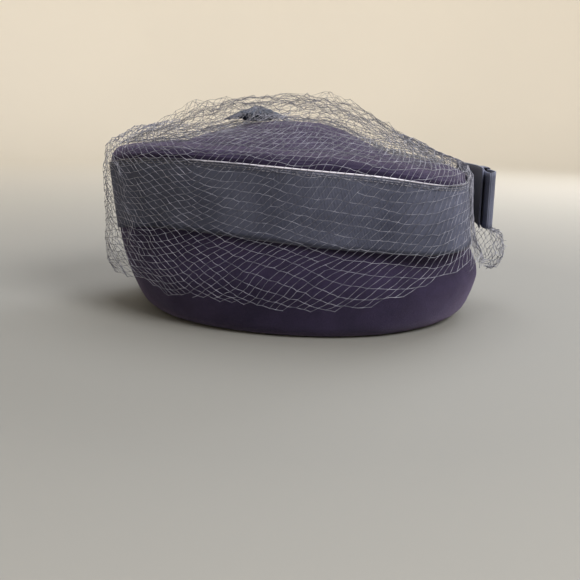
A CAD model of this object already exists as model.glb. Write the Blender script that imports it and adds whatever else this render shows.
import math
import random

import bmesh
import bpy
import numpy as np
from mathutils import Euler, Matrix, Vector, kdtree, noise


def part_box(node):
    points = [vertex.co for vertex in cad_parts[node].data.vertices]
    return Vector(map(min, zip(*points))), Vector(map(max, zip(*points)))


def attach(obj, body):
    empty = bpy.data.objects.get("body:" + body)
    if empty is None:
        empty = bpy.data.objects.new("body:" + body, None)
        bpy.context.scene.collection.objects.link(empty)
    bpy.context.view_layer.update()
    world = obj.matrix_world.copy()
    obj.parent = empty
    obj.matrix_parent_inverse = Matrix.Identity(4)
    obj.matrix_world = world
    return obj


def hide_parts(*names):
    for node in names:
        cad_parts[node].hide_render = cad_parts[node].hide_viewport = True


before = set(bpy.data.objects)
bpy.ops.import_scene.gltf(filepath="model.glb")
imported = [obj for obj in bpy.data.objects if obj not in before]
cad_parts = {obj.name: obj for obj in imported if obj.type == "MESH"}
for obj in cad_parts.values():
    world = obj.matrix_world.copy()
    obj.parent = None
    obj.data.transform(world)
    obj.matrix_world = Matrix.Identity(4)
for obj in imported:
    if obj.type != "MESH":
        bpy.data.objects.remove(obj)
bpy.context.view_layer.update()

MM = 0.001
random.seed(7)

# The felt block, in millimetres: sections from the hem up over the rim to the top of the crown.
COLUMNS = ("front", "back", "half", "mid", "nose", "heel",
           "z_front", "z_front_corner", "z_side", "z_back_corner", "z_back")
BLOCK = {
    "hem": (-91.7, 107.5, 91, 19, 2.0, 2.0, 0, 0, 0, 0, 0),
    "curl": (-99.5, 116, 96.5, 21, 2.0, 2.05, 2.6, 2.6, 2.6, 2.6, 2.6),
    "low": (-106, 122.5, 100.5, 24, 2.0, 2.1, 9.5, 9.5, 9.5, 9.5, 9.5),
    "bulge": (-114.5, 128.5, 104, 28, 2.0, 2.1, 28, 29, 28, 27, 28),
    "waist": (-118.7, 125, 100.5, 33, 1.95, 2.2, 42, 46, 42.5, 40, 42),
    "under_band": (-121, 119, 99.3, 37, 1.87, 2.3, 53.5, 61.5, 55, 51, 54),
    "band": (-123.4, 116.2, 103.5, 39, 1.83, 2.3, 76, 83, 77, 71.5, 74),
    "rim": (-125.3, 114.2, 107.3, 40, 1.8, 2.3, 96.5, 104, 98.5, 91, 93.5),
    "brow": (-124.3, 112.8, 106, 40, 1.8, 2.3, 103.2, 107.8, 102.6, 94.6, 96),
    "ledge_edge": (-119, 108.5, 101, 39, 1.82, 2.3, 108.3, 110.8, 105.4, 97.6, 98.2),
    "ledge": (-106, 101, 93, 37, 1.88, 2.2, 110.2, 111.8, 107, 100, 100),
    "corner": (-78, 92, 83, 30, 1.96, 2.1, 110.6, 112, 108.8, 102.6, 101.6),
    "shoulder": (-70.5, 82, 75.5, 27, 2.0, 2.0, 114.2, 114.6, 112, 105.6, 103.4),
    "slope": (-57, 63, 62, 21, 2.0, 2.0, 118.2, 118, 116.4, 110.8, 107.2),
    "high": (-43, 46, 47, 13, 2.0, 2.0, 121.8, 121.6, 120.8, 117.6, 115),
    "top": (-29, 32, 32, 7, 2.0, 2.0, 125, 125, 124.4, 123, 122.2),
    "tip": (-12, 17, 15, 3, 2.0, 2.0, 126.6, 126.5, 126.2, 126, 126),
}
LEVEL = {name: n for n, name in enumerate(BLOCK)}
TABLE = {key: np.array([row[n] for row in BLOCK.values()], float) for n, key in enumerate(COLUMNS)}
LAST_LEVEL = len(BLOCK) - 1
CROWN_TOP = np.array((2.5, 0.0, 126.8))
FELT_THICKNESS = 2.5
# Dents and swellings: turn in degrees from the back, level, push in millimetres and two spreads.
DENTS = (
    (-52, 4.4, -6.5, 26, 0.85),
    (-100, 3.6, 3.2, 24, 0.9),
    (-140, 3.9, -2.2, 16, 0.9),
    (66, 4.2, -4.2, 24, 0.9),
    (118, 3.6, 2.4, 22, 0.9),
    (8, 4.5, -1.8, 22, 0.8),
    (-88, 12.6, -2.4, 22, 1.1),
    (34, 12.9, -3.0, 26, 1.2),
    (100, 13.4, 1.6, 24, 1.0),
)
# The band's stand-off from the felt at its lower and upper edge, from the back to the front.
STAND_OFF_LOW = (0.4, 3.4, 1.2, 0.2, 0.2)
STAND_OFF_HIGH = (0.5, 1.2, 0.3, 0.2, 0.2)
RIBBON_GAP = 0.5
RIBBON_THICKNESS = 1.0
# The veil's height over what it covers, by level, at the front, the side and the back.
VEIL_LEVELS = (2.0, 2.75, 3.4, 4.2, 5, 6, 7, 8, 9, 10, 11, 12, 13, 14, 15, 16)
VEIL_FRONT = (3.0, 6.5, 10, 9.5, 6.5, 4.6, 2.4, 2.5, 4.0, 8.5, 16, 19.5, 17.5, 16.5, 16, 15.5)
VEIL_SIDE = (1.0, 1.0, 1.4, 2.0, 1.0, 0.6, 0.8, 2.2, 4.4, 8, 11, 13.5, 15, 15.5, 15.5, 15.5)
VEIL_BACK = (0.8, 1.0, 1.2, 1.2, 0.8, 0.6, 1.2, 2.4, 3.6, 5, 7, 10.5, 13.5, 15.5, 16, 15.5)
VEIL_GAP = 1.2
BOW_X = 131.2
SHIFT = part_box("felt_body")[0][0] - min(BLOCK["rim"][0], 0) * MM


def spline(values, place):
    """Smooth curve through a list of values (or rows of them), with its ends held."""
    values = np.asarray(values, float)
    last = len(values) - 1
    index = np.clip(np.floor(place).astype(int), 0, last - 1)
    t = place - index
    a, b, c, d = (values[np.clip(index + n, 0, last)] for n in (-1, 0, 1, 2))
    return 0.5 * (2 * b + (c - a) * t + (2 * a - 5 * b + 4 * c - d) * t**2 + (3 * b - a - 3 * c + d) * t**3)


def from_back(turn):
    return np.abs(np.arctan2(np.sin(turn), np.cos(turn)))


def around(values, turn):
    """Value at a turn from values that run from the back to the front in equal steps."""
    last = len(values) - 1
    place = from_back(turn) / math.pi * last
    index = np.minimum(np.floor(place).astype(int), last - 1)
    t = place - index
    table = np.array([np.broadcast_to(v, turn.shape) for v in values])
    pick = np.arange(turn.size)

    def at(n):
        n = np.where(n < 0, -n, np.where(n > last, 2 * last - n, n))
        return table[n, pick]

    a, b, c, d = at(index - 1), at(index), at(index + 1), at(index + 2)
    return 0.5 * (2 * b + (c - a) * t + (2 * a - 5 * b + 4 * c - d) * t**2 + (3 * b - a - 3 * c + d) * t**3)


def block(turn, level):
    """Points of the undented block, in millimetres."""
    level = np.clip(level, 0, LAST_LEVEL)
    row = {key: spline(TABLE[key], level) for key in COLUMNS}
    cosine, sine = np.cos(turn), np.sin(turn)
    reach = np.where(cosine > 0, row["back"] - row["mid"], row["mid"] - row["front"])
    power = 2 / np.where(cosine > 0, row["heel"], row["nose"])
    heights = [row[key] for key in ("z_back", "z_back_corner", "z_side", "z_front_corner", "z_front")]
    return np.stack((
        row["mid"] + reach * np.sign(cosine) * np.abs(cosine) ** power,
        row["half"] * np.sign(sine) * np.abs(sine) ** power,
        around(heights, turn),
    ), axis=-1)


def outward(surface, turn, level):
    step = 0.02
    level = np.clip(level, 0, LAST_LEVEL - 2 * step)
    across = surface(turn + step, level) - surface(turn - step, level)
    up = surface(turn, level + step) - surface(turn, np.maximum(level - step, 0))
    normal = np.cross(across, up)
    return normal / np.linalg.norm(normal, axis=-1, keepdims=True)


def dents(turn, level):
    push = np.zeros_like(turn)
    for at, height, depth, turn_spread, level_spread in DENTS:
        away = np.arctan2(np.sin(turn - math.radians(at)), np.cos(turn - math.radians(at)))
        push += depth * np.exp(-((away / math.radians(turn_spread)) ** 2) - ((level - height) / level_spread) ** 2)
    return push


def felt_outside(turn, level):
    return block(turn, level) + outward(block, turn, level) * dents(turn, level)[:, None]


def over_block(turn, level, height):
    return block(turn, level) + outward(block, turn, level) * np.reshape(height, (-1, 1))


def stand_off(turn, level):
    share = np.clip((level - LEVEL["under_band"]) / (LEVEL["rim"] - LEVEL["under_band"]), 0, 1)
    low, high = around(STAND_OFF_LOW, turn), around(STAND_OFF_HIGH, turn)
    return RIBBON_GAP + low + (high - low) * share + np.maximum(dents(turn, level), 0)


def veil_height(turn, level):
    parts = [np.interp(level, VEIL_LEVELS, rows) for rows in (VEIL_BACK, VEIL_SIDE, VEIL_FRONT)]
    band = stand_off(turn, level) + RIBBON_THICKNESS
    share = np.clip((level - LEVEL["brow"]) / 1.5, 0, 1)
    return band * (1 - share) + RIBBON_GAP * share + VEIL_GAP + around(parts, turn)


def place_in_frame(points):
    """Millimetres from the block's own zero to metres in the shared frame."""
    return np.asarray(points) * MM + np.array((SHIFT, 0, 0))


# Round the hat by length: u runs from the front (0) to the back, + on the near side, in millimetres.
HALF_TURNS = np.linspace(math.pi, 0, 721)
HALF_LENGTHS = np.concatenate(((0,), np.cumsum(np.linalg.norm(
    np.diff(block(HALF_TURNS, np.full(721, 6.0)), axis=0), axis=1))))
HALF_ROUND = float(HALF_LENGTHS[-1])


def turn_at(u):
    return -np.sign(u + 1e-9) * np.interp(np.abs(u), HALF_LENGTHS, HALF_TURNS)


# ---------------------------------------------------------------- materials

def new_group(name, inputs, outputs):
    group = bpy.data.node_groups.new(name, "ShaderNodeTree")
    for label, kind, value in inputs:
        socket = group.interface.new_socket(label, in_out="INPUT", socket_type=kind)
        socket.default_value = value
    for label, kind in outputs:
        group.interface.new_socket(label, in_out="OUTPUT", socket_type=kind)
    return group, group.nodes.new("NodeGroupInput"), group.nodes.new("NodeGroupOutput")


def math_node(tree, operation, first, second=None, clamp=False):
    node = tree.nodes.new("ShaderNodeMath")
    node.operation = operation
    node.use_clamp = clamp
    for socket, value in zip(node.inputs, (first, second)):
        if value is None:
            continue
        if isinstance(value, (int, float)):
            socket.default_value = value
        else:
            tree.links.new(value, socket)
    return node.outputs[0]


def noise_node(tree, vector, scale, detail=3.0, roughness=0.55, distortion=0.0):
    node = tree.nodes.new("ShaderNodeTexNoise")
    node.inputs["Detail"].default_value = detail
    node.inputs["Roughness"].default_value = roughness
    node.inputs["Distortion"].default_value = distortion
    tree.links.new(vector, node.inputs["Vector"])
    if isinstance(scale, (int, float)):
        node.inputs["Scale"].default_value = scale
    else:
        tree.links.new(scale, node.inputs["Scale"])
    return node.outputs["Fac"]


def nap_group():
    """Matted wool: cloudy shade, loose fibres and their height."""
    group, given, out = new_group(
        "wool_nap",
        [("Vector", "NodeSocketVector", (0, 0, 0)), ("Fibres", "NodeSocketFloat", 1500.0)],
        [("Cloud", "NodeSocketFloat"), ("Fibre", "NodeSocketFloat"), ("Height", "NodeSocketFloat")],
    )
    place = given.outputs["Vector"]
    cloud = noise_node(group, place, 38.0, 4.0, 0.6)
    fine = noise_node(group, place, given.outputs["Fibres"], 4.0, 0.7, 1.4)
    coarse = noise_node(group, place, math_node(group, "MULTIPLY", given.outputs["Fibres"], 0.3), 3.0, 0.6, 2.5)
    height = math_node(group, "ADD", math_node(group, "MULTIPLY", fine, 0.55), math_node(group, "MULTIPLY", coarse, 0.6))
    group.links.new(cloud, out.inputs["Cloud"])
    group.links.new(fine, out.inputs["Fibre"])
    group.links.new(height, out.inputs["Height"])
    return group


def rib_group():
    """Grosgrain: ribs across the ribbon, the fine warp over them, and a cloudy sheen."""
    group, given, out = new_group(
        "grosgrain_ribs",
        [("UV", "NodeSocketVector", (0, 0, 0)), ("Vector", "NodeSocketVector", (0, 0, 0)),
         ("Ribs", "NodeSocketFloat", 900.0), ("Warp", "NodeSocketFloat", 160.0)],
        [("Rib", "NodeSocketFloat"), ("Warp", "NodeSocketFloat"), ("Cloud", "NodeSocketFloat"),
         ("Height", "NodeSocketFloat")],
    )
    split = group.nodes.new("ShaderNodeSeparateXYZ")
    group.links.new(given.outputs["UV"], split.inputs[0])

    def wave(coordinate, count):
        angle = math_node(group, "MULTIPLY", math_node(group, "MULTIPLY", coordinate, count), 2 * math.pi)
        sine = math_node(group, "COSINE", angle)
        return math_node(group, "MULTIPLY_ADD", sine, 0.5)

    rib = wave(split.outputs["X"], given.outputs["Ribs"])
    warp = wave(split.outputs["Y"], given.outputs["Warp"])
    for node in group.nodes:
        if node.type == "MATH" and node.operation == "MULTIPLY_ADD":
            node.inputs[2].default_value = 0.5
    cloud = noise_node(group, given.outputs["Vector"], 30.0, 3.0, 0.5)
    height = math_node(group, "ADD", rib, math_node(group, "MULTIPLY", warp, 0.25))
    for name, socket in (("Rib", rib), ("Warp", warp), ("Cloud", cloud), ("Height", height)):
        group.links.new(socket, out.inputs[name])
    return group


def new_material(name):
    material = bpy.data.materials.new(name)
    material.use_nodes = True
    tree = material.node_tree
    return material, tree, tree.nodes["Principled BSDF"], tree.nodes.new("ShaderNodeTexCoord")


def ramp(tree, factor, stops):
    node = tree.nodes.new("ShaderNodeValToRGB")
    elements = node.color_ramp.elements
    while len(elements) < len(stops):
        elements.new(0.5)
    for element, (position, colour) in zip(elements, stops):
        element.position = position
        element.color = (*colour, 1)
    tree.links.new(factor, node.inputs["Fac"])
    return node.outputs["Color"]


def mix_colour(tree, factor, first, second, blend="MIX"):
    node = tree.nodes.new("ShaderNodeMix")
    node.data_type = "RGBA"
    node.blend_type = blend
    for socket, value in ((node.inputs[0], factor), (node.inputs[6], first), (node.inputs[7], second)):
        if isinstance(value, (int, float)):
            socket.default_value = value
        elif isinstance(value, tuple):
            socket.default_value = (*value, 1)
        else:
            tree.links.new(value, socket)
    return node.outputs[2]


def bump(tree, shader, height, distance, strength=1.0):
    node = tree.nodes.new("ShaderNodeBump")
    node.inputs["Distance"].default_value = distance
    node.inputs["Strength"].default_value = strength
    tree.links.new(height, node.inputs["Height"])
    tree.links.new(node.outputs["Normal"], shader.inputs["Normal"])


def felt_material(groups):
    material, tree, shader, place = new_material("aubergine_felt")
    nap = tree.nodes.new("ShaderNodeGroup")
    nap.node_tree = groups["nap"]
    tree.links.new(place.outputs["Object"], nap.inputs["Vector"])
    base = ramp(tree, nap.outputs["Cloud"], [(0.3, FELT_DARK), (0.72, FELT_LIGHT)])
    fibre = ramp(tree, nap.outputs["Fibre"], [(0.35, (0.62, 0.62, 0.64)), (0.75, (1.3, 1.26, 1.3))])
    colour = mix_colour(tree, 1.0, base, fibre, "MULTIPLY")
    tree.links.new(colour, shader.inputs["Base Color"])
    shader.inputs["Roughness"].default_value = 0.92
    shader.inputs["Specular IOR Level"].default_value = 0.18
    shader.inputs["Sheen Weight"].default_value = 0.32
    shader.inputs["Sheen Roughness"].default_value = 0.42
    shader.inputs["Sheen Tint"].default_value = (0.55, 0.46, 0.72, 1)
    bump(tree, shader, nap.outputs["Height"], 0.0009, 0.55)
    return material


def ribbon_material(groups, name, ribs, warp):
    material, tree, shader, place = new_material(name)
    weave = tree.nodes.new("ShaderNodeGroup")
    weave.node_tree = groups["ribs"]
    tree.links.new(place.outputs["UV"], weave.inputs["UV"])
    tree.links.new(place.outputs["Object"], weave.inputs["Vector"])
    weave.inputs["Ribs"].default_value = ribs
    weave.inputs["Warp"].default_value = warp
    base = ramp(tree, weave.outputs["Cloud"], [(0.32, RIBBON_DARK), (0.7, RIBBON_LIGHT)])
    groove = ramp(tree, weave.outputs["Rib"], [(0.0, (0.38, 0.38, 0.40)), (0.6, (1.2, 1.2, 1.2))])
    colour = mix_colour(tree, 1.0, base, groove, "MULTIPLY")
    tree.links.new(colour, shader.inputs["Base Color"])
    rough = tree.nodes.new("ShaderNodeMapRange")
    rough.inputs["To Min"].default_value = 0.42
    rough.inputs["To Max"].default_value = 0.6
    tree.links.new(weave.outputs["Cloud"], rough.inputs["Value"])
    tree.links.new(rough.outputs[0], shader.inputs["Roughness"])
    shader.inputs["Specular IOR Level"].default_value = 0.42
    shader.inputs["Sheen Weight"].default_value = 0.12
    shader.inputs["Sheen Roughness"].default_value = 0.35
    shader.inputs["Sheen Tint"].default_value = (0.7, 0.74, 0.9, 1)
    bump(tree, shader, weave.outputs["Height"], 0.00022, 0.8)
    return material


def thread_material(name, dark, light, roughness, scale=160.0):
    material, tree, shader, place = new_material(name)
    shade = noise_node(tree, place.outputs["Object"], scale, 2.0)
    tree.links.new(ramp(tree, shade, [(0.35, dark), (0.68, light)]), shader.inputs["Base Color"])
    shader.inputs["Roughness"].default_value = roughness
    shader.inputs["Specular IOR Level"].default_value = 0.6
    return material


def selvedge_material():
    """The band's upper selvedge: dark thread, rubbed pale along the stretch over the temples."""
    material, tree, shader, place = new_material("rubbed_selvedge")
    split = tree.nodes.new("ShaderNodeSeparateXYZ")
    tree.links.new(place.outputs["Object"], split.inputs[0])
    away = math_node(tree, "ABSOLUTE", math_node(tree, "SUBTRACT", split.outputs["X"], RUBBED_MIDDLE))
    worn = math_node(tree, "SUBTRACT", 1.0, math_node(tree, "DIVIDE", away, RUBBED_HALF), clamp=True)
    patchy = noise_node(tree, place.outputs["Object"], 260.0, 2.0)
    worn = math_node(tree, "MULTIPLY", math_node(tree, "POWER", worn, 0.35), math_node(tree, "ADD", patchy, 0.55), clamp=True)
    colour = mix_colour(tree, worn, (0.05, 0.05, 0.075), (0.86, 0.84, 0.97))
    tree.links.new(colour, shader.inputs["Base Color"])
    shader.inputs["Roughness"].default_value = 0.35
    return material


def stage_material():
    material, tree, shader, place = new_material("pale_stage")
    shade = noise_node(tree, place.outputs["Object"], 1.2, 2.0)
    colour = ramp(tree, shade, [(0.3, (0.97, 0.97, 0.97)), (0.7, (1.0, 1.0, 1.0))])
    away = tree.nodes.new("ShaderNodeVectorMath")
    away.operation = "LENGTH"
    tree.links.new(place.outputs["Object"], away.inputs[0])
    share = math_node(tree, "DIVIDE", away.outputs["Value"], 2.6)
    tint = ramp(tree, share, [(0.1, (0.23, 0.23, 0.22)), (0.6, (0.60, 0.565, 0.495)), (1.0, (0.82, 0.765, 0.675))])
    colour = mix_colour(tree, 1.0, tint, colour, "MULTIPLY")
    tree.links.new(colour, shader.inputs["Base Color"])
    shader.inputs["Roughness"].default_value = 0.9
    return material


FELT_DARK, FELT_LIGHT = (0.019, 0.015, 0.037), (0.036, 0.028, 0.066)
RIBBON_DARK, RIBBON_LIGHT = (0.054, 0.060, 0.097), (0.098, 0.108, 0.164)
RUBBED_MIDDLE, RUBBED_HALF = 0.012 + SHIFT, 0.075


# ---------------------------------------------------------------- making shapes

def finish_piece(bm, name, material, smooth=True):
    mesh = bpy.data.meshes.new(name)
    bm.to_mesh(mesh)
    bm.free()
    piece = bpy.data.objects.new(name, mesh)
    bpy.context.scene.collection.objects.link(piece)
    mesh.materials.append(material)
    mesh.polygons.foreach_set("use_smooth", [smooth] * len(mesh.polygons))
    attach(piece, "root")
    return piece


def laid_grid(columns, rows, place, close_round):
    """A grid of cloth laid over a surface: place takes two arrays from 0 to 1 and gives metres."""
    bm = bmesh.new()
    bmesh.ops.create_grid(bm, x_segments=columns, y_segments=rows, size=0.5)
    flat = np.array([vertex.co[:2] for vertex in bm.verts]) + 0.5
    uv = bm.loops.layers.uv.new("cloth")
    for face in bm.faces:
        for loop in face.loops:
            loop[uv].uv = loop.vert.co.x + 0.5, loop.vert.co.y + 0.5
    for vertex, point in zip(bm.verts, place(flat[:, 0], flat[:, 1])):
        vertex.co = point
    if close_round:
        bmesh.ops.remove_doubles(bm, verts=bm.verts, dist=1e-6)
    return bm


def apply_modifiers(piece):
    graph = bpy.context.evaluated_depsgraph_get()
    mesh = bpy.data.meshes.new_from_object(piece.evaluated_get(graph))
    piece.modifiers.clear()
    piece.data = mesh


def felt_body(materials):
    outer_rows = np.concatenate((np.linspace(LAST_LEVEL + 1, LAST_LEVEL, 6), np.linspace(LAST_LEVEL, 0, 110)[1:]))
    inner_rows = np.concatenate((np.linspace(0, LAST_LEVEL, 56), (LAST_LEVEL + 0.5, LAST_LEVEL + 1)))
    levels = np.concatenate((outer_rows, inner_rows))
    inside = np.concatenate((np.zeros(len(outer_rows)), np.ones(len(inner_rows))))

    def place(x, y):
        row = np.rint(y * (len(levels) - 1)).astype(int)
        level, depth = levels[row], inside[row] * FELT_THICKNESS
        turn = turn_at((x - 0.5) * 2 * HALF_ROUND)
        turn = np.where(x > 1 - 1e-6, turn_at(np.array([-HALF_ROUND]))[0], turn)
        held = np.minimum(level, LAST_LEVEL)
        normal = outward(felt_outside, turn, held)
        points = felt_outside(turn, held) - normal * depth[:, None]
        foot = inside[row] * (level <= 0)
        slide = felt_outside(turn, np.zeros_like(turn)) - felt_outside(turn, np.full_like(turn, 0.5))
        slide /= np.linalg.norm(slide, axis=-1, keepdims=True)
        points = points + slide * (foot * -points[:, 2] / slide[:, 2])[:, None]
        lumps = np.array([noise.noise(Vector(p) * 0.045) * 0.55 + noise.noise(Vector(p) * 0.16) * 0.14
                          for p in points])
        lumps *= np.clip(held / 1.5, 0, 1)
        points = points + normal * lumps[:, None]
        share = np.clip(level - LAST_LEVEL, 0, 1)[:, None]
        top = CROWN_TOP - np.array((0, 0, 1)) * depth[:, None]
        points = points * (1 - share) + top * share
        points[:, 2] = np.maximum(points[:, 2], 0)
        return place_in_frame(points)

    bm = laid_grid(300, len(levels) - 1, place, True)
    bmesh.ops.recalc_face_normals(bm, faces=bm.faces)
    piece = finish_piece(bm, "felt_crown", materials["felt"])
    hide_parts("felt_body")
    return piece


BAND_RIBS = 880
BAND_LOW, BAND_HIGH = 5.0, 7.0
EDGE_ROUND = 0.22


def band_level(share):
    return BAND_LOW + (BAND_HIGH - BAND_LOW) * share


def ribbon_band(materials):
    rows = 11

    def place(x, y):
        turn = turn_at((x - 0.5) * 2 * HALF_ROUND)
        rib = np.cos(x * BAND_RIBS * 2 * math.pi)
        edge = np.clip(1 - np.minimum(y, 1 - y) * 9, 0, 1)
        level = band_level(y) + 0.018 * rib * edge * np.where(y > 0.5, 1, -1)
        ripple = 0.35 * np.sin(x * 41) * np.sin(x * 17 + 2) * (1 - y)
        height = stand_off(turn, level) + RIBBON_THICKNESS / 2 + 0.19 * rib + ripple * 0.6
        return place_in_frame(over_block(turn, level, height))

    bm = laid_grid(BAND_RIBS * 3, rows, place, True)
    piece = finish_piece(bm, "band_cloth", materials["band"])
    wall = piece.modifiers.new("thickness", "SOLIDIFY")
    wall.thickness = RIBBON_THICKNESS * 0.6 * MM
    wall.offset = 0
    apply_modifiers(piece)
    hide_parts("ribbon_band")
    return piece


# ---------------------------------------------------------------- bow

BOW_HEIGHT, BOW_Z, BOW_BEND = 35.5, 61.5, 0.0026
BOW_HALF_SPAN, BOW_DEPTH, BOW_PINCH, BOW_WAIST = 47.0, 8.0, 4.4, 13.0
BASE_HALF_SPAN, BASE_HEIGHT, BASE_Z = 40.0, 38.0, 61.25
BASE_X = BOW_X - BOW_DEPTH / 2 - 0.4 - 0.8
KNOT_WIDTH = 17.0
RIB_PITCH = 0.85


def along_outline(outline, share):
    """Points at even shares of the length of a closed plan outline."""
    closed = np.vstack((outline, outline[:1]))
    lengths = np.concatenate(((0,), np.cumsum(np.linalg.norm(np.diff(closed, axis=0), axis=1))))
    at = share * lengths[-1]
    return np.stack([np.interp(at, lengths, closed[:, n]) for n in (0, 1)], axis=-1), lengths[-1]


def ribbed_strip(name, node, outline, closed, place, rows, thickness, material):
    """A strip of grosgrain along an outline, with its ribs across it: place lifts plan points to millimetres."""
    outline = np.asarray(outline, float)
    length = along_outline(outline, np.zeros(1))[1] if closed else float(
        np.linalg.norm(np.diff(outline, axis=0), axis=1).sum())
    ribs = int(length / RIB_PITCH)

    def lay(x, y):
        if closed:
            middle = along_outline(outline, x % 1)[0]
            ahead = along_outline(outline, (x + 0.001) % 1)[0]
            behind = along_outline(outline, (x - 0.001) % 1)[0]
        else:
            lengths = np.concatenate(((0,), np.cumsum(np.linalg.norm(np.diff(outline, axis=0), axis=1)))) / length

            def at(share):
                return np.stack([np.interp(share, lengths, outline[:, n]) for n in (0, 1)], axis=-1)

            middle, ahead, behind = at(x), at(np.minimum(x + 0.002, 1)), at(np.maximum(x - 0.002, 0))
        along = ahead - behind
        along /= np.linalg.norm(along, axis=-1, keepdims=True)
        normal = np.stack((along[:, 1], -along[:, 0]), axis=-1)
        rib = np.cos(x * ribs * 2 * math.pi)
        edge = np.clip(1 - np.minimum(y, 1 - y) * 14, 0, 1)
        return place_in_frame(place(middle + normal * (0.09 * rib)[:, None], y, 0.25 * rib * edge))

    bm = laid_grid(ribs * 3, rows, lay, closed)
    piece = finish_piece(bm, name, material(ribs))
    wall = piece.modifiers.new("thickness", "SOLIDIFY")
    wall.thickness = thickness * MM
    wall.offset = 0
    apply_modifiers(piece)
    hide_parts(node)
    return piece, length


def bow(materials, groups):
    def cloth(ribs):
        return ribbon_material(groups, f"bow_grosgrain_{ribs}", float(ribs), 50.0)

    def upright(low, height):
        def place(plan, y, edge):
            side = np.where(y > 0.5, 1, -1)
            return np.column_stack((plan, low + height * y + edge * side))
        return place

    half = BOW_HALF_SPAN - 0.6
    turns = np.linspace(0, 2 * math.pi, 240, endpoint=False)
    y = half * np.sin(turns)
    clear = np.maximum(np.abs(y) - BOW_WAIST, 0) / (BOW_HALF_SPAN - BOW_WAIST)
    depth = BOW_PINCH / 2 + (BOW_DEPTH - BOW_PINCH) / 2 * np.sin(math.pi * 0.64 * clear**0.8) ** 0.75 - 0.6
    end = np.sqrt(np.maximum(1 - np.abs(np.sin(turns)) ** 6, 0))
    loops = np.column_stack((BOW_X - BOW_BEND * y * y + depth * end * np.sign(np.cos(turns)), y))
    piece, length = ribbed_strip("loop_cloth", "bow_loops", loops, True, upright(BOW_Z, BOW_HEIGHT), 12, 0.9, cloth)

    y = np.linspace(-BASE_HALF_SPAN, BASE_HALF_SPAN, 40)
    base = np.column_stack((BASE_X - BOW_BEND * y * y, y))
    piece, length = ribbed_strip("base_cloth", "bow_base", base, False, upright(BASE_Z, BASE_HEIGHT), 12, 0.9, cloth)

    wide, low, high = BOW_PINCH / 2 + 0.95, BOW_Z - 0.95, BOW_Z + BOW_HEIGHT + 0.95
    corner = 1.1
    frame_line = []
    for cx, cz, start in ((1, 1, 0), (-1, 1, 90), (-1, -1, 180), (1, -1, 270)):
        for n in range(7):
            angle = math.radians(start + n * 15)
            frame_line.append((cx * (wide - corner) + corner * math.cos(angle),
                               (low + high) / 2 + cz * ((high - low) / 2 - corner) + corner * math.sin(angle)))

    def wrapped(plan, y, edge):
        across = (0.5 - y) * (KNOT_WIDTH - 1.2)
        pinch = 0.35 * np.sin(across * 0.9 + plan[:, 1] * 0.11)
        return np.column_stack((BOW_X + plan[:, 0] + np.sign(plan[:, 0]) * np.maximum(pinch, 0), across, plan[:, 1]))

    piece, length = ribbed_strip("knot_cloth", "bow_knot", frame_line, True, wrapped, 16, 0.8, cloth)


# ---------------------------------------------------------------- threads and netting

def tube_tree():
    """Geometry nodes: every edge becomes a thin thread, and every marked point a small knot."""
    tree = bpy.data.node_groups.new("threads", "GeometryNodeTree")
    tree.interface.new_socket("Geometry", in_out="INPUT", socket_type="NodeSocketGeometry")
    tree.interface.new_socket("Radius", in_out="INPUT", socket_type="NodeSocketFloat")
    tree.interface.new_socket("Knot", in_out="INPUT", socket_type="NodeSocketFloat")
    tree.interface.new_socket("Sides", in_out="INPUT", socket_type="NodeSocketInt")
    tree.interface.new_socket("Geometry", in_out="OUTPUT", socket_type="NodeSocketGeometry")
    given, out = tree.nodes.new("NodeGroupInput"), tree.nodes.new("NodeGroupOutput")
    curve = tree.nodes.new("GeometryNodeMeshToCurve")
    ring = tree.nodes.new("GeometryNodeCurvePrimitiveCircle")
    tube = tree.nodes.new("GeometryNodeCurveToMesh")
    bead = tree.nodes.new("GeometryNodeMeshUVSphere")
    bead.inputs["Segments"].default_value = 4
    bead.inputs["Rings"].default_value = 2
    marked = tree.nodes.new("GeometryNodeInputNamedAttribute")
    marked.data_type = "BOOLEAN"
    marked.inputs["Name"].default_value = "knot"
    beads = tree.nodes.new("GeometryNodeInstanceOnPoints")
    real = tree.nodes.new("GeometryNodeRealizeInstances")
    joined = tree.nodes.new("GeometryNodeJoinGeometry")
    link = tree.links.new
    link(given.outputs["Geometry"], curve.inputs["Mesh"])
    link(given.outputs["Radius"], ring.inputs["Radius"])
    link(given.outputs["Sides"], ring.inputs["Resolution"])
    link(curve.outputs["Curve"], tube.inputs["Curve"])
    link(ring.outputs["Curve"], tube.inputs["Profile Curve"])
    link(given.outputs["Geometry"], beads.inputs["Points"])
    link(marked.outputs["Attribute"], beads.inputs["Selection"])
    link(bead.outputs["Mesh"], beads.inputs["Instance"])
    link(given.outputs["Knot"], bead.inputs["Radius"])
    link(beads.outputs["Instances"], real.inputs["Geometry"])
    link(tube.outputs["Mesh"], joined.inputs["Geometry"])
    link(real.outputs["Geometry"], joined.inputs["Geometry"])
    link(joined.outputs["Geometry"], out.inputs["Geometry"])
    return tree


def threads(name, material, points, edges, radius, knot=0.0, knots=(), tree=None, sides=3):
    """Threads along edges between points in millimetres, with knots at the given points."""
    placed = place_in_frame(points)
    placed[:, 2] = np.maximum(placed[:, 2], 0.0006)
    bm = bmesh.new()
    mark = bm.verts.layers.bool.new("knot")
    made = [bm.verts.new(point) for point in placed]
    for index in knots:
        made[index][mark] = True
    for first, second in edges:
        bm.edges.new((made[first], made[second]))
    piece = finish_piece(bm, name, material)
    modifier = piece.modifiers.new("threads", "NODES")
    modifier.node_group = tree
    modifier["Socket_1"] = radius * MM
    modifier["Socket_2"] = knot * MM
    modifier["Socket_3"] = sides
    apply_modifiers(piece)
    piece.data.materials.clear()
    piece.data.materials.append(material)
    piece.data.polygons.foreach_set("use_smooth", [True] * len(piece.data.polygons))
    return piece


NET_SIDE = 6.2
HALF_STEP = 4.4
THREAD_RADIUS = 0.17
KNOT_RADIUS = 0.33
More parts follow.
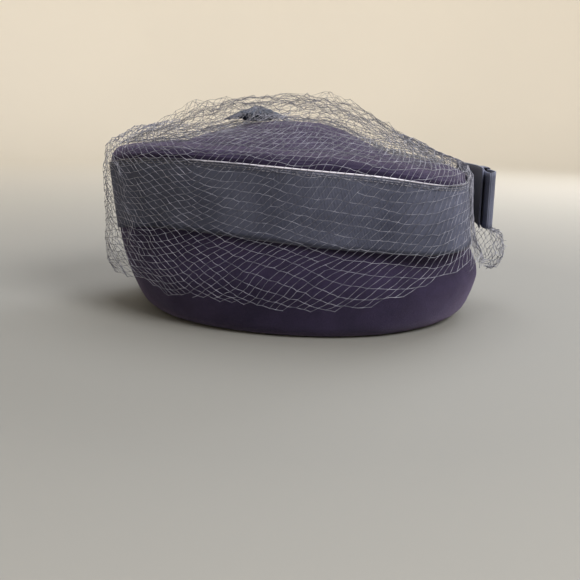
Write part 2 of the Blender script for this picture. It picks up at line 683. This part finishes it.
# Along half the hat, from the front to the back: the cut edge's height over the lowest line, half the
# height of a cell, and the slope that the cells are pulled to.
HEM_U = (0, 50, 70, 85, 130, 180, 207, 224, 240, 250, 265, 280, 300, 355)
HEM_V = (3, 6, 5, -2, -1, -3.5, -3, 0, 5, 14, 20, 18, 13, 16)
CELL_U = (0, 50, 105, 135, 190, 240, 285, 355)
CELL_HALF = (2.3, 2.0, 2.15, 2.5, 3.1, 3.2, 3.1, 3.0)
CELL_PULL = (0, -0.45, -0.42, -0.12, 0.38, 0.62, 0.98, 0.6)
PULL_U = np.linspace(0, HALF_ROUND, 200)
PULLED = np.concatenate(((0,), np.cumsum(
    (np.interp(PULL_U[1:], CELL_U, CELL_PULL) + np.interp(PULL_U[:-1], CELL_U, CELL_PULL)) / 2 * np.diff(PULL_U))))


class VeilSurface:
    """The veil's surface by length: u round the hat, v up from its lowest line."""

    def __init__(self):
        self.levels = np.linspace(2.0, LAST_LEVEL, 113)
        columns = np.linspace(0, HALF_ROUND, 61)
        self.lengths = np.array([
            np.concatenate(((0,), np.cumsum(np.linalg.norm(np.diff(
                over_block(np.full(113, turn), self.levels, veil_height(np.full(113, turn), self.levels)),
                axis=0), axis=1)))) for turn in turn_at(columns)])
        self.lengths -= np.array([np.interp(2.75, self.levels, row) for row in self.lengths])[:, None]

    def level_at(self, u, v):
        column = np.clip(np.abs(u) / HALF_ROUND * 60, 0, 59.999)
        index = column.astype(int)
        share = column - index
        first = np.array([np.interp(b, self.lengths[a], self.levels) for a, b in zip(index, v)])
        second = np.array([np.interp(b, self.lengths[a + 1], self.levels) for a, b in zip(index, v)])
        return first * (1 - share) + second * share

    def points(self, u, v):
        turn, level = turn_at(u), self.level_at(u, v)
        waves = np.array([noise.noise(Vector((math.cos(a) * 2.6, math.sin(a) * 2.6, b * 0.3)))
                          for a, b in zip(turn, level)])
        front = np.clip(np.cos(turn) * -1.6 - 0.4, 0, 1)
        crumple = np.array([noise.noise(Vector((a * 0.09, b * 0.09, 3.7))) for a, b in zip(u, v)])
        height = veil_height(turn, level) + np.maximum(waves, 0) * 1.4 + front * (crumple * 3.4 - 0.6)
        return over_block(turn, level, np.maximum(height, stand_off(turn, level) + RIBBON_THICKNESS + 0.3))


def net(name, material, tree, points, keys, broken, sag, longest, radius=THREAD_RADIUS, knot=KNOT_RADIUS):
    """A knotted net: a slightly bent thread between each pair of neighbouring nodes."""
    index = {key: n for n, key in enumerate(keys)}
    made = list(points)
    edges = []
    for (i, j), here in index.items():
        for other in ((i + 1, j + 1), (i + 1, j - 1)):
            there = index.get(other)
            if there is None or random.random() < broken:
                continue
            start, end = made[here], made[there]
            length = np.linalg.norm(end - start)
            if length > longest or length < 0.3:
                continue
            made.append((start + end) / 2 + np.array([random.gauss(0, sag) for _ in range(3)]) * length)
            edges += [(here, len(made) - 1), (len(made) - 1, there)]
    return threads(name, material, np.array(made), edges, radius, knot, range(len(keys)), tree)


def side_net(materials, tree):
    surface = VeilSurface()
    keys, us, vs = [], [], []
    across = int(HALF_ROUND / HALF_STEP)
    for i in range(-across, across + 1):
        for j in range(-60, 90):
            if (i + j) % 2:
                continue
            u = i * HALF_STEP * HALF_ROUND / (across * HALF_STEP)
            v = j * np.interp(abs(u), CELL_U, CELL_HALF) + np.interp(abs(u), PULL_U, PULLED)
            v += 1.6 * math.sin(u * 0.043 + 1.3) + 1.2 * math.sin(u * 0.11 + v * 0.06)
            low = np.interp(abs(u), HEM_U, HEM_V)
            if v < low or v > 128 + 10 * math.sin(u * 0.05):
                continue
            near_hem = math.exp(-(((v - low) / 16) ** 2)) * np.interp(abs(u), (90, 150, 235, 260), (0.2, 1, 1, 0.1))
            keys.append((i, j))
            us.append(u + 1.5 * math.sin(v * 0.071 + u * 0.02) + random.gauss(0, 0.35))
            vs.append(low + (v - low) * (1 - 0.42 * near_hem) + random.gauss(0, 0.3))
    us = np.clip(np.array(us), -HALF_ROUND, HALF_ROUND)
    piece = net("veil_side_net", materials["thread"], tree, surface.points(us, np.array(vs)), keys, 0.006, 0.03, 17)
    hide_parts("veil_drape")


def crown_heights():
    """Height of the felt and of the veil's outer form over the crown, by place in plan."""
    turns, levels = np.meshgrid(np.linspace(0, 2 * math.pi, 73)[:-1], np.linspace(7.6, LAST_LEVEL, 43))
    turns, levels = turns.ravel(), levels.ravel()
    felt = felt_outside(turns, levels)
    cover = over_block(turns, levels, veil_height(turns, levels))
    trees = []
    for points in (felt, cover):
        tree = kdtree.KDTree(len(points))
        for n, point in enumerate(points):
            tree.insert((point[0], point[1], 0), n)
        tree.balance()
        trees.append((tree, points[:, 2]))

    def height(which, x, y):
        tree, z = trees[which]
        near = tree.find_n((x, y, 0), 5)
        weights = [1 / (distance + 0.5) ** 2 for _, _, distance in near]
        return sum(w * z[n] for w, (_, n, _) in zip(weights, near)) / sum(weights)

    return height


GATHER_X = -25.0


def crown_net(materials, tree, height, name, share, turned, seed, wrinkle, reach, cell):
    """A loose layer of net laid over the crown, with its wrinkles running to the gather."""
    outline_turns = np.linspace(-math.pi, math.pi, 181)
    outline = over_block(outline_turns, np.full(181, 8.4), np.full(181, 4.0))
    limit = np.hypot(outline[:, 0] - GATHER_X, outline[:, 1]) * reach
    angles = np.unwrap(np.arctan2(outline[:, 1], outline[:, 0] - GATHER_X))
    order = np.argsort(angles)
    keys, points = [], []
    count = int(190 / cell)
    for i in range(-count, count + 1):
        for j in range(-count, count + 1):
            if (i + j) % 2:
                continue
            flat = complex(i, j) * cell * complex(math.cos(turned), math.sin(turned))
            x, y = flat.real + 8, flat.imag
            wobble = noise.noise_vector(Vector((x * 0.03, y * 0.03, seed)))
            x, y = x + wobble.x * 7 + random.gauss(0, 0.5), y + wobble.y * 7 + random.gauss(0, 0.5)
            away, angle = math.hypot(x - GATHER_X, y), math.atan2(y, x - GATHER_X)
            edge = float(np.interp(angle, angles[order], limit[order], period=2 * math.pi))
            edge *= 1 + 0.1 * noise.noise(Vector((angle * 2.2, seed, 0.4)))
            if away > edge:
                continue
            felt, cover = height(0, x, y) + 1.2, height(1, x, y)
            rays = noise.noise(Vector((math.cos(angle) * 4.2, math.sin(angle) * 4.2, seed + away * 0.008)))
            crush = noise.noise(Vector((x * 0.11, y * 0.11, seed + 5)))
            fade = min(away / 30, 1) * min((edge - away) / 25 + 0.15, 1)
            z = felt + (cover - felt) * share * min((edge - away) / 30 + 0.1, 1)
            z += (rays * 1.5 + crush) * wrinkle * fade
            keys.append((i, j))
            points.append((x, y, min(max(z, felt), cover + 4.5)))
    return net(name, materials["crown_thread"], tree, np.array(points), keys, 0.015, 0.05, 15, 0.105, 0.22)


def gather(materials, tree):
    """The knotted bunch on the crown: a pleated core under tight turns of net."""
    bm = bmesh.new()
    bmesh.ops.create_uvsphere(bm, u_segments=96, v_segments=28, radius=1)
    for vertex in bm.verts:
        x, y, z = vertex.co
        angle, flat = math.atan2(y, x), math.hypot(x, y)
        pleat = 1 + 0.10 * flat * math.sin(angle * 17 + z * 2) + 0.16 * noise.noise(vertex.co * 2.4)
        vertex.co = place_in_frame((GATHER_X + 13 * x * pleat, 15 * y * pleat, 130.6 + 4.4 * z * pleat))
    core = finish_piece(bm, "gather_core", materials["bunch"])
    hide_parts("veil_gather")
    points, edges = [], []
    for _ in range(230):
        angle = random.uniform(0, 2 * math.pi)
        swirl = random.uniform(-0.5, 0.5)
        out = random.uniform(0.8, 1.9)
        for n in range(9):
            share = n / 8
            r = 0.12 + share * out
            turn = angle + swirl * share
            points.append((GATHER_X + 12.3 * r * math.cos(turn), 15 * r * math.sin(turn),
                           136.6 - 4.9 * r + random.gauss(0, 0.4)))
            if n:
                edges.append((len(points) - 2, len(points) - 1))
    threads("gather_threads", materials["crown_thread"], np.array(points), edges, 0.24, 0.0, (), tree)


TUFT = (140.4, 0.0, 42.8)


def tuft(materials, tree):
    """The end of the veil under the bow: a loose pocket of net with stray threads."""
    keys, points = [], []
    for i in range(0, 15):
        for j in range(-13, 14):
            if (i + j) % 2:
                continue
            lift, side = math.pi * (i / 14 - 0.5), math.pi * 0.54 * j / 13
            bulge = 1 + 0.14 * noise.noise(Vector((lift * 2, side * 2, 4.0)))
            keys.append((i, j))
            points.append((
                TUFT[0] - 4.4 + 12.6 * math.cos(lift) ** 0.6 * math.cos(side) * bulge + random.gauss(0, 0.4),
                TUFT[1] + 24.5 * math.sin(side) * (0.55 + 0.45 * math.cos(lift)) + random.gauss(0, 0.6),
                TUFT[2] + 13.2 * math.sin(lift) * bulge + random.gauss(0, 0.6),
            ))
    piece = net("veil_tuft_net", materials["thread"], tree, np.array(points), keys, 0.05, 0.07, 14)
    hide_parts("veil_tuft")
    loose, edges = [], []
    for _ in range(34):
        start = np.array(random.choice([p for p in points if p[0] > TUFT[0] - 2]))
        heading = np.array((random.uniform(0.2, 1), random.gauss(0, 0.6), random.gauss(0, 0.5)))
        for n in range(4):
            loose.append(start.copy())
            start = start + heading * 1.15 + np.array([random.gauss(0, 0.35) for _ in range(3)])
            if n:
                edges.append((len(loose) - 2, len(loose) - 1))
    threads("veil_stray_ends", materials["thread"], np.array(loose), edges, 0.17, 0.0, (), tree)


def band_trim(materials, tree):
    """The band's upper selvedge cord and the rows of stitches below it."""
    count = 720
    turns = turn_at(np.linspace(-HALF_ROUND, HALF_ROUND, count, endpoint=False))
    for name, level, height, radius, material in (
        ("band_selvedge", 7.02, 1.0, 0.5, "selvedge"), ("band_foot_edge", 4.99, 0.55, 0.4, "edge"),
    ):
        levels = np.full(count, level)
        wave = 0.12 * np.sin(np.arange(count) * 0.7) + 0.2 * np.sin(np.arange(count) * 0.031)
        line = over_block(turns, levels, stand_off(turns, levels) + height + wave)
        threads(name, materials[material], line, [(n, (n + 1) % count) for n in range(count)],
                radius, 0.0, (), tree, 6)
    points, edges = [], []
    for level, gap in ((6.915, 2.3), (6.845, 2.9)):
        for n in range(int(2 * HALF_ROUND / gap)):
            middle = -HALF_ROUND + (n + 0.5) * gap + random.gauss(0, 0.12)
            tilt = random.gauss(0, 0.004)
            ends = turn_at(np.array((middle - gap * 0.3, middle + gap * 0.3)))
            at = np.array((level + tilt, level - tilt))
            pair = over_block(ends, at, stand_off(ends, at) + 1.36)
            points += list(pair)
            edges.append((len(points) - 2, len(points) - 1))
    threads("band_stitches", materials["stitch"], np.array(points), edges, 0.24, 0.0, (), tree, 4)


# ---------------------------------------------------------------- stage, camera and light

def lamp(name, place, aim, size, power, colour):
    data = bpy.data.lights.new(name, "AREA")
    data.shape = "RECTANGLE"
    data.size, data.size_y = size
    data.energy = power
    data.color = colour
    light = bpy.data.objects.new(name, data)
    light.location = place
    light.rotation_euler = (Vector(aim) - Vector(place)).to_track_quat("-Z", "Y").to_euler()
    bpy.context.scene.collection.objects.link(light)


def studio(material):
    bm = bmesh.new()
    profile = [(0.0, 0.0), (1.7, 0.0)]
    for n in range(1, 13):
        angle = n / 12 * math.pi / 2
        profile.append((1.7 + 0.8 * math.sin(angle), 0.8 - 0.8 * math.cos(angle)))
    profile.append((2.5, 3.0))
    made = [bm.verts.new((x, 0, z)) for x, z in profile]
    chain = [bm.edges.new(pair) for pair in zip(made, made[1:])]
    bmesh.ops.spin(bm, geom=made + chain, cent=(0, 0, 0), axis=(0, 0, 1), angle=2 * math.pi, steps=96, use_merge=True)
    bmesh.ops.remove_doubles(bm, verts=bm.verts, dist=1e-6)
    bmesh.ops.recalc_face_normals(bm, faces=bm.faces)
    mesh = bpy.data.meshes.new("stage")
    bm.to_mesh(mesh)
    bm.free()
    mesh.materials.append(material)
    mesh.polygons.foreach_set("use_smooth", [True] * len(mesh.polygons))
    stage = bpy.data.objects.new("stage", mesh)
    bpy.context.scene.collection.objects.link(stage)
    camera = bpy.data.cameras.new("camera")
    camera.lens = 47.7
    eye = bpy.data.objects.new("camera", camera)
    eye.location = (SHIFT - 0.0011, -0.540, 0.130)
    aim = Euler((math.radians(90 - 12.73), 0, 0)).to_matrix() @ Matrix.Rotation(math.radians(1.0), 3, "Z")
    eye.rotation_euler = aim.to_euler()
    bpy.context.scene.collection.objects.link(eye)
    bpy.context.scene.camera = eye
    lamp("key", (0.85, -0.95, 1.05), (0, 0, 0.06), (0.6, 0.6), 25, (1.0, 0.98, 0.95))
    lamp("top", (0.2, 0.35, 1.5), (0, 0, 0.1), (1.2, 1.2), 15, (0.97, 0.97, 1.0))
    lamp("rim", (0.8, 1.0, 0.8), (0, 0, 0.1), (0.6, 0.6), 7, (0.9, 0.93, 1.0))
    lamp("wall", (0.0, 0.9, 1.6), (0, 2.4, 0.7), (1.6, 0.5), 11, (1.0, 0.97, 0.91))
    world = bpy.data.worlds.new("studio")
    world.use_nodes = True
    world.node_tree.nodes["Background"].inputs[0].default_value = (0.95, 0.93, 0.9, 1)
    world.node_tree.nodes["Background"].inputs[1].default_value = 0.46
    bpy.context.scene.world = world
    bpy.context.scene.view_settings.view_transform = "Standard"


# ---------------------------------------------------------------- run

groups = {"nap": nap_group(), "ribs": rib_group()}
materials = {
    "felt": felt_material(groups),
    "band": ribbon_material(groups, "band_grosgrain", float(BAND_RIBS), 60.0),
    "thread": thread_material("veil_thread", (0.08, 0.083, 0.115), (0.34, 0.35, 0.43), 0.36, 260.0),
    "crown_thread": thread_material("crown_veil_thread", (0.055, 0.06, 0.085), (0.18, 0.185, 0.235), 0.45, 320.0),
    "bunch": thread_material("bunched_net", (0.012, 0.018, 0.035), (0.05, 0.07, 0.12), 0.7, 420.0),
    "stitch": thread_material("band_stitch", (0.05, 0.05, 0.07), (0.36, 0.36, 0.42), 0.5, 500.0),
    "edge": thread_material("ribbon_edge", (0.025, 0.026, 0.036), (0.05, 0.052, 0.07), 0.6, 300.0),
    "selvedge": selvedge_material(),
    "stage": stage_material(),
}
tubes = tube_tree()
felt_body(materials)
ribbon_band(materials)
band_trim(materials, tubes)
bow(materials, groups)
side_net(materials, tubes)
over_crown = crown_heights()
crown_net(materials, tubes, over_crown, "crown_net_close", 0.12, 0.1, 2.0, 1.2, 0.93, 4.5)
crown_net(materials, tubes, over_crown, "crown_net_loose", 0.75, 0.7, 9.0, 4.0, 1.0, 5.0)
crown_net(materials, tubes, over_crown, "crown_net_top", 0.95, 1.3, 21.0, 5.5, 0.9, 4.9)
gather(materials, tubes)
tuft(materials, tubes)
studio(materials["stage"])
